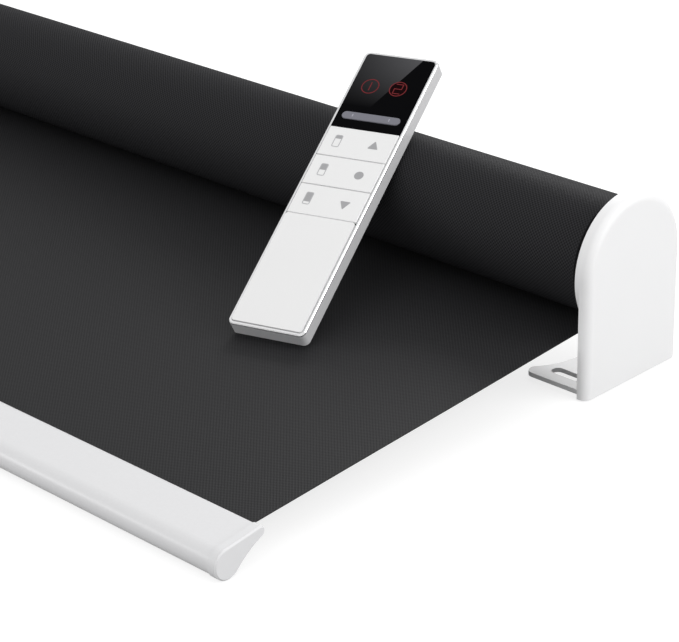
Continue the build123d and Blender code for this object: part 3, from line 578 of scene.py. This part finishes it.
# Cloth on the roll and the free sheet
def make_roll():
    """The wound cloth: its outer turn is a spiral, and its ends show the edges of the turns."""
    low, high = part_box("fabric_roll")
    half = (high.x - low.x) / 2
    layers = 26
    steps = 180
    outer_points = 40
    edge_depth = 0.00018
    edge_wander = 0.0001
    edge_sides = (0.15, 0.85)
    core_gap = 0.0002
    rings = []
    for layer in range(layers):
        wander = edge_wander * random.random()
        inset = edge_depth if layer % 2 else wander
        rings += [(half - inset, layer + side) for side in edge_sides]
    left_end = [(-x, depth) for x, depth in reversed(rings)]
    outer = [(-half + 2 * half * (i + 0.5) / outer_points, 0.0) for i in range(outer_points)]
    outline = left_end + outer + rings
    stride = len(outline)
    start = -math.pi / 2 + CLOTH_SLOPE
    layer_depth = (ROLL_RADIUS - TUBE_RADIUS - core_gap - CLOTH_THICKNESS) / layers
    points = []
    for step in range(steps + 1):
        share = step / steps
        angle = start + 2 * math.pi * share
        for x, depth in outline:
            radius = ROLL_RADIUS - CLOTH_THICKNESS * share - depth * layer_depth
            points.append((x, radius * math.cos(angle), AXIS_HEIGHT + radius * math.sin(angle)))
    faces = []
    for step in range(steps):
        first = step * stride
        for corner in range(first, first + stride - 1):
            faces.append((corner, corner + stride, corner + stride + 1, corner + 1))
        faces.append((first, first + stride - 1, first + 2 * stride - 1, first + stride))
    faces.append(tuple(range(stride)))
    faces.append(tuple(range(steps * stride, (steps + 1) * stride))[::-1])
    roll = add_mesh("wound_cloth", points, faces, blackout_cloth("wound_fabric", wound=True))
    harden(roll)
    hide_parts("fabric_roll")
    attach(roll, "roller")


def cloth_point(distance, lift):
    """Y and Z of a point that far from the roll along the sheet, and that far above its middle."""
    radius = ROLL_RADIUS - CLOTH_THICKNESS / 2 + SEAT_GAP
    sine, cosine = math.sin(CLOTH_SLOPE), math.cos(CLOTH_SLOPE)
    y = radius * sine - distance * cosine - lift * sine
    z = AXIS_HEIGHT - radius * cosine - distance * sine
    return y, z + lift * cosine


def slack_wave(x, share):
    """Slack of the sheet at x and at a share of its length, from two crossing waves."""
    waves = ((1.0, 31, 5), (0.6, 73, -9))
    height = sum(size * math.sin(x * across + share * along) for size, across, along in waves)
    return height * math.sin(math.pi * share)


def sheet_faces(rows, columns):
    """Faces of a sheet with a lower and an upper grid of points and an edge all round."""
    stride = columns + 1
    layer = stride * (rows + 1)
    faces = []
    for row in range(rows):
        for column in range(columns):
            corner = row * stride + column
            faces.append((corner, corner + 1, corner + 1 + stride, corner + stride))
            top = corner + layer
            faces.append((top, top + stride, top + stride + 1, top + 1))
    for row in range(rows):
        left = row * stride
        right = left + columns
        faces.append((left, left + stride, left + stride + layer, left + layer))
        faces.append((right + layer, right + stride + layer, right + stride, right))
    for near in range(columns):
        far = rows * stride + near
        faces.append((near, near + layer, near + layer + 1, near + 1))
        faces.append((far + 1, far + layer + 1, far + layer, far))
    return faces


def make_sheet(material):
    """A taut cloth with slight slack waves that die out at the roll and at the bar.

    Its upper face stays just clear of the roll, which turns above it.
    """
    low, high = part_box("fabric_sheet")
    half = (high.x - low.x) / 2
    start = SEAT_GAP
    end = FREE_LENGTH + SHEET_ENTRY
    columns = 96
    rows = 48
    drawn_share = 0.9
    wave_height = 0.00006
    roll_clearance = 0.00017
    clear_length = 0.013
    points = []
    for side in (-0.5, 0.5):
        for row in range(rows + 1):
            share = row / rows
            distance = start + (end - start) * share
            clearance = roll_clearance * max(0.0, 1 - distance / clear_length) if side > 0 else 0.0
            face_lift = side * drawn_share * CLOTH_THICKNESS - clearance
            for column in range(columns + 1):
                x = -half + 2 * half * column / columns
                lift = face_lift + wave_height * slack_wave(x, share)
                points.append((x, *cloth_point(distance, lift)))
    sheet = add_mesh("blackout_sheet", points, sheet_faces(rows, columns), material)
    harden(sheet)
    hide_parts("fabric_sheet")
    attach(sheet, "fixed")
    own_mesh(sheet)


# Spring behind the idle pin
def make_spring(material):
    """A coil with a closed turn at each end."""
    low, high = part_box("idle_spring")
    length = high.x - low.x
    wire_radius = 0.0005
    coil_radius = (high.z - low.z) / 2 - wire_radius
    open_turns = 4
    turns = open_turns + 2
    closed_pitch = 2.1 * wire_radius
    open_pitch = (length - 2 * wire_radius - 2 * closed_pitch) / open_turns
    steps_per_turn = 28
    steps = turns * steps_per_turn
    sides = 10
    edge_angle = 60
    points = []
    for step in range(steps + 1):
        turned = step / steps_per_turn
        first_closed = min(turned, 1.0)
        last_closed = max(turned - turns + 1, 0.0)
        closed = first_closed + last_closed
        open_part = turned - first_closed - last_closed
        x = low.x + wire_radius + closed_pitch * closed + open_pitch * open_part
        angle = 2 * math.pi * turned
        for side in range(sides):
            around = 2 * math.pi * side / sides
            radius = coil_radius + wire_radius * math.cos(around)
            points.append((
                x + wire_radius * math.sin(around),
                radius * math.cos(angle),
                AXIS_HEIGHT + radius * math.sin(angle),
            ))
    faces = []
    for first in range(0, steps * sides, sides):
        for side in range(sides):
            corner = first + side
            beside = first + (side + 1) % sides
            faces.append((corner, beside, beside + sides, corner + sides))
    faces.append(tuple(range(sides))[::-1])
    faces.append(tuple(range(steps * sides, (steps + 1) * sides)))
    spring = add_mesh("pin_spring", points, faces, material)
    harden(spring, edge_angle)
    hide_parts("idle_spring")
    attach(spring, "roller")
    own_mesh(spring)


# Outlines of the marks on the remote
def arc(x, y, radius, first, sweep, steps):
    """Points along an arc, with both of its ends."""
    angles = [first + sweep * step / steps for step in range(steps + 1)]
    return [(x + radius * math.cos(angle), y + radius * math.sin(angle)) for angle in angles]


def round_outline(x, y, radius, count=40):
    return arc(x, y, radius, 0.0, 2 * math.pi, count)[:-1]


def rounded_box(x, y, width, height, radii, steps=6):
    """Rectangle about x, y with corner radii given from the lower right, anticlockwise."""
    corners = ((1, -1), (1, 1), (-1, 1), (-1, -1))
    outline = []
    for index, ((side, end), radius) in enumerate(zip(corners, radii)):
        centre_x = x + side * (width / 2 - radius)
        centre_y = y + end * (height / 2 - radius)
        first = -math.pi / 2 + index * math.pi / 2
        outline += arc(centre_x, centre_y, radius, first, math.pi / 2, steps)
    return outline


def rounded_triangle(x, y, size, up, steps=5):
    """Triangle that points to the remote's top or foot, with small round corners."""
    reach = size / math.sqrt(3) - 2 * TRIANGLE_CORNER
    sign = 1 if up else -1
    outline = []
    for index in range(3):
        middle = math.pi / 2 + index * 2 * math.pi / 3
        centre = (reach * math.cos(middle), reach * math.sin(middle))
        sweep = 2 * math.pi / 3
        outline += arc(*centre, TRIANGLE_CORNER, middle - sweep / 2, sweep, steps)
    return [(x + sign * across, y + sign * along) for across, along in outline]


def stroke(points, width):
    """Outline of a line of that width along the given points, with square corners."""
    least_lean = 0.3
    places = [Vector(point) for point in points]
    runs = [(after - here).normalized() for here, after in zip(places, places[1:])]
    left = []
    right = []
    for index, here in enumerate(places):
        first = runs[max(index - 1, 0)]
        second = runs[min(index, len(runs) - 1)]
        normal = Vector((-first.y - second.y, first.x + second.x)).normalized()
        lean = normal.dot(Vector((-first.y, first.x)))
        reach = width / 2 / max(least_lean, lean)
        left.append(tuple(here + normal * reach))
        right.append(tuple(here - normal * reach))
    return right + left[::-1]


# Marks on the remote: thin solid shapes that lie on its face
def add_mark(name, rings, material, body, bottom=INK_BOTTOM, top=INK_TOP):
    """A thin plate on the remote: one outline, or an outer and an inner one of as many points."""
    points = [
        REMOTE_PLACE @ Vector((x, y, height))
        for height in (bottom, top) for ring in rings for x, y in ring
    ]
    count = len(rings[0])
    rise = count * len(rings)
    faces = []
    for index in range(count):
        after = (index + 1) % count
        faces.append((index, after, after + rise, index + rise))
        if len(rings) == 2:
            inner, inner_after = index + count, after + count
            faces.append((inner_after, inner, inner + rise, inner_after + rise))
            faces.append((index + rise, after + rise, inner_after + rise, inner + rise))
            faces.append((after, index, inner, inner_after))
    if len(rings) == 1:
        faces.append(tuple(range(count))[::-1])
        faces.append(tuple(range(rise, rise + count)))
    mark = add_mesh(name, points, faces, material, smooth=False)
    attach(mark, body)


def make_key_signs():
    """A drawn blind on each key, with its cloth down to some share, and a plain sign beside it."""
    dark_ink = moulded("mark_ink", (0.36, 0.36, 0.37), 0.5, shade=0.08)
    light_ink = moulded("mark_ink_light", (0.46, 0.46, 0.47), 0.5, shade=0.08)
    width, height = BLIND_SIGN_SIZE
    inner_width = width - 2 * BLIND_SIGN_RIM
    inner_height = height - 2 * BLIND_SIGN_RIM
    top_corner, hem_corner = BLIND_SHADE_CORNER, BLIND_SHADE_HEM_CORNER
    shade_corners = (hem_corner, top_corner, top_corner, hem_corner)
    for key, y, drawn in BLIND_SIGNS:
        outer = rounded_box(BLIND_SIGN_X, y, width, height, [BLIND_SIGN_CORNER] * 4)
        inner = rounded_box(BLIND_SIGN_X, y, inner_width, inner_height, [BLIND_SHADE_CORNER] * 4)
        add_mark(f"blind_sign_{key}", (outer, inner), light_ink, key)
        shade_height = inner_height * drawn
        shade_y = y + height / 2 - BLIND_SIGN_RIM - shade_height / 2
        shade = rounded_box(BLIND_SIGN_X, shade_y, inner_width, shade_height, shade_corners)
        add_mark(f"blind_shade_{key}", (shade,), dark_ink, key)
    down = rounded_triangle(PLAIN_SIGN_X, DOWN_SIGN_Y, TRIANGLE_SIZE, up=False)
    stop = round_outline(PLAIN_SIGN_X, STOP_SIGN_Y, DOT_RADIUS)
    up = rounded_triangle(PLAIN_SIGN_X, UP_SIGN_Y, TRIANGLE_SIZE, up=True)
    for name, sign in (("down", down), ("stop", stop), ("up", up)):
        add_mark(f"sign_{name}", (sign,), dark_ink, f"key_{name}")


def digit_one(x, y):
    return [(x, y - FIRST_DIGIT_HALF_HEIGHT), (x, y + FIRST_DIGIT_HALF_HEIGHT)]


def digit_two(x, y):
    half_width, half_height = SECOND_DIGIT_HALF_SIZE
    left, right = x - half_width, x + half_width
    low, high = y - half_height, y + half_height
    return [(left, high), (right, high), (right, y), (left, y), (left, low), (right, low)]


def make_channel_marks():
    """Two ringed digits, the second on a dim red backing, and a tick at each end of the rocker."""
    red = moulded("mark_red", (0.19, 0.024, 0.028), 0.5, shade=0.1, Specular_IOR_Level=0.05)
    red_glow = moulded(
        "mark_red_dark", (0.008, 0.001, 0.0015), 0.5, shade=0.1, Specular_IOR_Level=0.02,
    )
    tick_ink = moulded("mark_tick", (0.40, 0.40, 0.46), 0.4)
    inner_radius = RING_RADIUS - STROKE_WIDTH
    for index, centre in enumerate((FIRST_RING, SECOND_RING), start=1):
        ring = (round_outline(*centre, RING_RADIUS), round_outline(*centre, inner_radius))
        add_mark(f"channel_ring_{index}", ring, red, "remote")
    backing = round_outline(*SECOND_RING, inner_radius - BACKING_GAP)
    add_mark("channel_back_2", (backing,), red_glow, "remote", top=INK_TOP - BACKING_DROP)
    digits = (digit_one(*FIRST_RING), digit_two(*SECOND_RING))
    for index, digit in enumerate(digits, start=1):
        add_mark(f"channel_digit_{index}", (stroke(digit, STROKE_WIDTH),), red, "remote")
    for index, x in enumerate((-TICK_X, TICK_X), start=1):
        tick = stroke([(x, y) for y in TICK_ENDS], STROKE_WIDTH)
        bottom, top = INK_BOTTOM + ROCKER_RISE, INK_TOP + ROCKER_RISE
        add_mark(f"channel_tick_{index}", (tick,), tick_ink, "channel_rocker_body", bottom, top)


# The whole scene
slot_materials = make_materials()
dress_solids(slot_materials)
make_camera()
make_floor()
make_sky()
make_lights()
make_roll()
make_sheet(slot_materials["blackout_fabric"])
make_spring(slot_materials["spring_steel"])
make_key_signs()
make_channel_marks()
